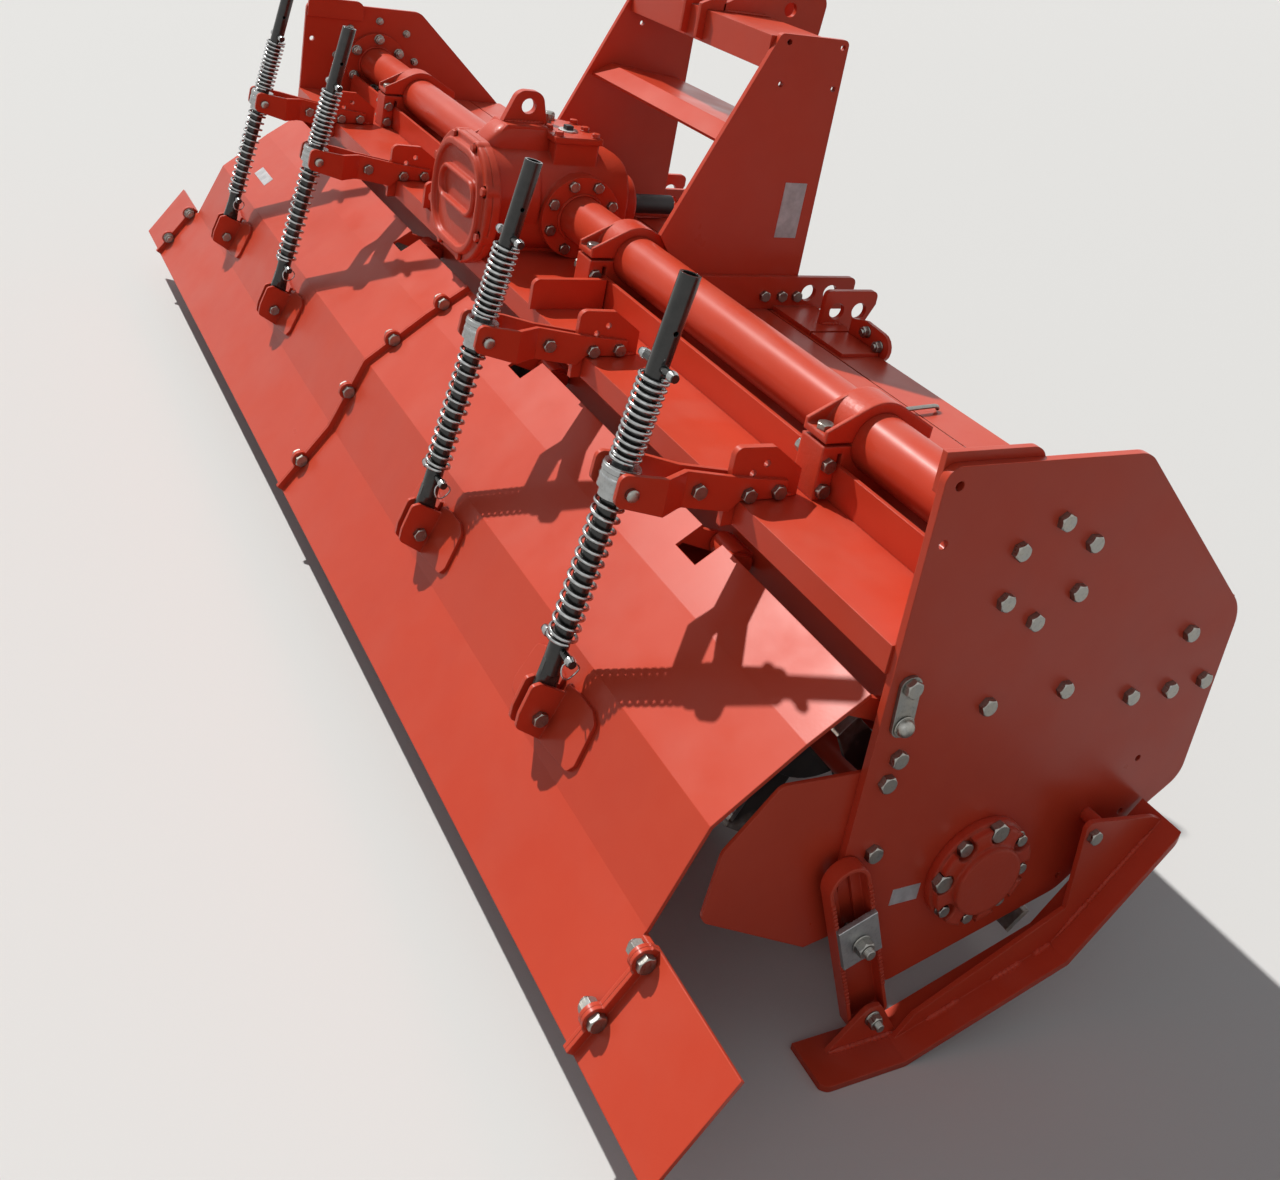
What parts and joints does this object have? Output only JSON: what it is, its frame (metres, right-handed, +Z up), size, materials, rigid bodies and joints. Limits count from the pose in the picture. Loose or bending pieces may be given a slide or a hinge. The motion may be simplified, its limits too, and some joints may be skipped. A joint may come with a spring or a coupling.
{
  "type": "rotary tiller",
  "caption": "Wide three point rotary tiller with a hooded bladed rotor, centre gearbox with drive tubes, spring loaded folding rear flap and side skids.",
  "frame": {"origin": "on the ground under the middle of the machine's box, which is half its width and half its depth", "axes": "+X to the machine's right, +Y the way it travels, +Z up"},
  "size_m": [3.422, 1.1407, 1.3],
  "materials": {
    "painted": "gloss",
    "blades": "satin",
    "rotor": "satin",
    "shaft": "satin",
    "cap": "matte",
    "zinc": "gloss",
    "spring": "gloss"
  },
  "bodies": {
    "frame": {"end_plate_right": "painted", "end_plate_left": "painted", "edge_bar_right": "painted", "edge_bar_left": "painted", "base_strip_right": "painted", "base_strip_left": "painted", "hood": "painted", "trough_right": "painted", "trough_left": "painted", "front_beam": "painted", "drive_tube_right": "painted", "drive_tube_left": "painted", "tube_clamps": "painted", "gearbox_case": "painted", "gearbox_rear_cover": "painted", "gearbox_top_cover": "painted", "lifting_eye": "painted", "side_gear_case": "painted", "rotor_bearing": "painted", "headstock_plate_right": "painted", "headstock_plate_left": "painted", "headstock_box": "painted", "headstock_shelf": "painted", "top_link_bracket": "painted", "lower_link_lugs_right": "painted", "lower_link_lugs_left": "painted", "skid_right": "painted", "skid_left": "painted", "skid_link_right": "painted", "skid_link_left": "painted", "side_shield_right": "painted", "side_shield_left": "painted", "spring_arms": "painted", "end_strap_right": "zinc", "end_strap_left": "zinc"},
    "rotor": {"rotor_tube": "rotor", "rotor_blades": "blades"},
    "input": {"input_shaft": "shaft", "shaft_cap": "cap"},
    "flap": {"flap_panel_right": "painted", "flap_panel_left": "painted", "flap_extension_right": "painted", "flap_extension_left": "painted", "flap_clevises": "painted"},
    "swivels": {"swivels": "zinc", "springs_upper": "spring"},
    "rods": {"spring_rods": "zinc", "springs_lower": "spring"}
  },
  "joints": [
    {"name": "rotor_spin", "type": "hinge", "parent": "frame", "child": "rotor", "pos_m": [0, 0.067, 0.258], "axis": [1, 0, 0], "continuous": true},
    {"name": "input_spin", "type": "hinge", "parent": "frame", "child": "input", "pos_m": [-0.11, 0.205, 0.755], "axis": [0, 1, 0], "continuous": true},
    {"name": "flap_hinge", "type": "hinge", "parent": "frame", "child": "flap", "pos_m": [0, -0.155, 0.545], "axis": [-1, 0, 0], "range_deg": [-8, 20]},
    {"name": "swivel_hinge", "type": "hinge", "parent": "frame", "child": "swivels", "pos_m": [0, -0.403, 0.706], "axis": [-1, 0, 0], "range_deg": [-6, 15]},
    {"name": "rod_slide", "type": "slide", "parent": "swivels", "child": "rods", "axis": [0, 0.1648, 0.9863], "range_m": [-0.04, 0.098], "deforming": ["springs_lower", "springs_upper"]}
  ],
  "couplings": [
    {"joint": "input_spin", "follows": "rotor_spin", "ratio": 2.5},
    {"joint": "swivel_hinge", "follows": "flap_hinge", "ratio": 0.74},
    {"joint": "rod_slide", "follows": "flap_hinge", "m_per_rad": 0.275}
  ]
}
